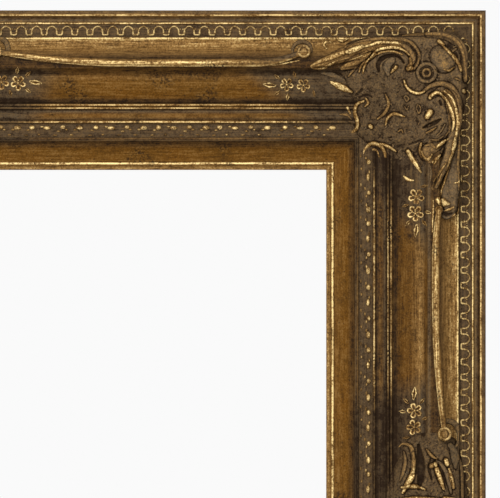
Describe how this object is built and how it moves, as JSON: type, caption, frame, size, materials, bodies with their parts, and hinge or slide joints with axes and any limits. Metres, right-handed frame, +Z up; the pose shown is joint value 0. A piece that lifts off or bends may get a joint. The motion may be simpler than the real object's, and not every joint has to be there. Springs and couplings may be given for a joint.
{
  "type": "ornate gilded picture frame",
  "caption": "Open swept picture frame with mitred gilded rails, moulded corner and centre ornaments, turn buttons and D-ring hangers on the back.",
  "frame": {"origin": "centre of the frame on the plane of its back, where it meets the wall behind it", "axes": "+X to the right seen from the front, +Y out of the back towards the wall, +Z up"},
  "size_m": [0.8414, 0.0696, 0.7398],
  "materials": {
    "gilded_wood": "antiqued gold leaf over wood",
    "gilded_composition": "antiqued gold leaf over moulded composition",
    "plated_steel": "zinc plated",
    "steel": "plain",
    "felt_rubber": "matt"
  },
  "bodies": {
    "frame": {"top_rail": "gilded_wood", "bottom_rail": "gilded_wood", "left_rail": "gilded_wood", "right_rail": "gilded_wood", "lunette_run_top": "gilded_composition", "lunette_run_bottom": "gilded_composition", "lunette_run_left": "gilded_composition", "lunette_run_right": "gilded_composition", "berry_run_top": "gilded_composition", "berry_run_bottom": "gilded_composition", "berry_run_left": "gilded_composition", "berry_run_right": "gilded_composition", "swept_bead_top_right": "gilded_composition", "swept_bead_top_left": "gilded_composition", "swept_bead_bottom_left": "gilded_composition", "swept_bead_bottom_right": "gilded_composition", "swept_bead_right_top": "gilded_composition", "swept_bead_left_top": "gilded_composition", "swept_bead_left_bottom": "gilded_composition", "swept_bead_right_bottom": "gilded_composition", "corner_ornament_top_right": "gilded_composition", "corner_ornament_top_left": "gilded_composition", "corner_ornament_bottom_left": "gilded_composition", "corner_ornament_bottom_right": "gilded_composition", "centre_ornament_top": "gilded_composition", "centre_ornament_bottom": "gilded_composition", "centre_ornament_left": "gilded_composition", "centre_ornament_right": "gilded_composition", "mitre_wedges": "steel", "turn_button_screws": "plated_steel", "hanger_strap_left": "plated_steel", "hanger_strap_right": "plated_steel", "hanger_screws": "plated_steel", "wall_bumpers": "felt_rubber"},
    "turn_button_top_left": {"turn_button_top_left": "plated_steel"},
    "turn_button_top_right": {"turn_button_top_right": "plated_steel"},
    "turn_button_bottom_left": {"turn_button_bottom_left": "plated_steel"},
    "turn_button_bottom_right": {"turn_button_bottom_right": "plated_steel"},
    "turn_button_left": {"turn_button_left": "plated_steel"},
    "turn_button_right": {"turn_button_right": "plated_steel"},
    "hanger_ring_left": {"hanger_ring_left": "plated_steel"},
    "hanger_ring_right": {"hanger_ring_right": "plated_steel"}
  },
  "joints": [
    {"name": "turn_button_top_left_pivot", "type": "hinge", "parent": "frame", "child": "turn_button_top_left", "pos_m": [-0.15, 0.001, 0.2656], "axis": [0, 1, 0], "continuous": true},
    {"name": "turn_button_top_right_pivot", "type": "hinge", "parent": "frame", "child": "turn_button_top_right", "pos_m": [0.15, 0.001, 0.2656], "axis": [0, 1, 0], "continuous": true},
    {"name": "turn_button_bottom_left_pivot", "type": "hinge", "parent": "frame", "child": "turn_button_bottom_left", "pos_m": [-0.15, 0.001, -0.2656], "axis": [0, 1, 0], "continuous": true},
    {"name": "turn_button_bottom_right_pivot", "type": "hinge", "parent": "frame", "child": "turn_button_bottom_right", "pos_m": [0.15, 0.001, -0.2656], "axis": [0, 1, 0], "continuous": true},
    {"name": "turn_button_left_pivot", "type": "hinge", "parent": "frame", "child": "turn_button_left", "pos_m": [-0.3164, 0.001, 0], "axis": [0, 1, 0], "continuous": true},
    {"name": "turn_button_right_pivot", "type": "hinge", "parent": "frame", "child": "turn_button_right", "pos_m": [0.3164, 0.001, 0], "axis": [0, 1, 0], "continuous": true},
    {"name": "hanger_ring_left_swing", "type": "hinge", "parent": "frame", "child": "hanger_ring_left", "pos_m": [-0.3467, 0.0031, 0.15], "axis": [0, 0, 1], "range_deg": [0, 170]},
    {"name": "hanger_ring_right_swing", "type": "hinge", "parent": "frame", "child": "hanger_ring_right", "pos_m": [0.3467, 0.0031, 0.15], "axis": [0, 0, -1], "range_deg": [0, 170]}
  ]
}
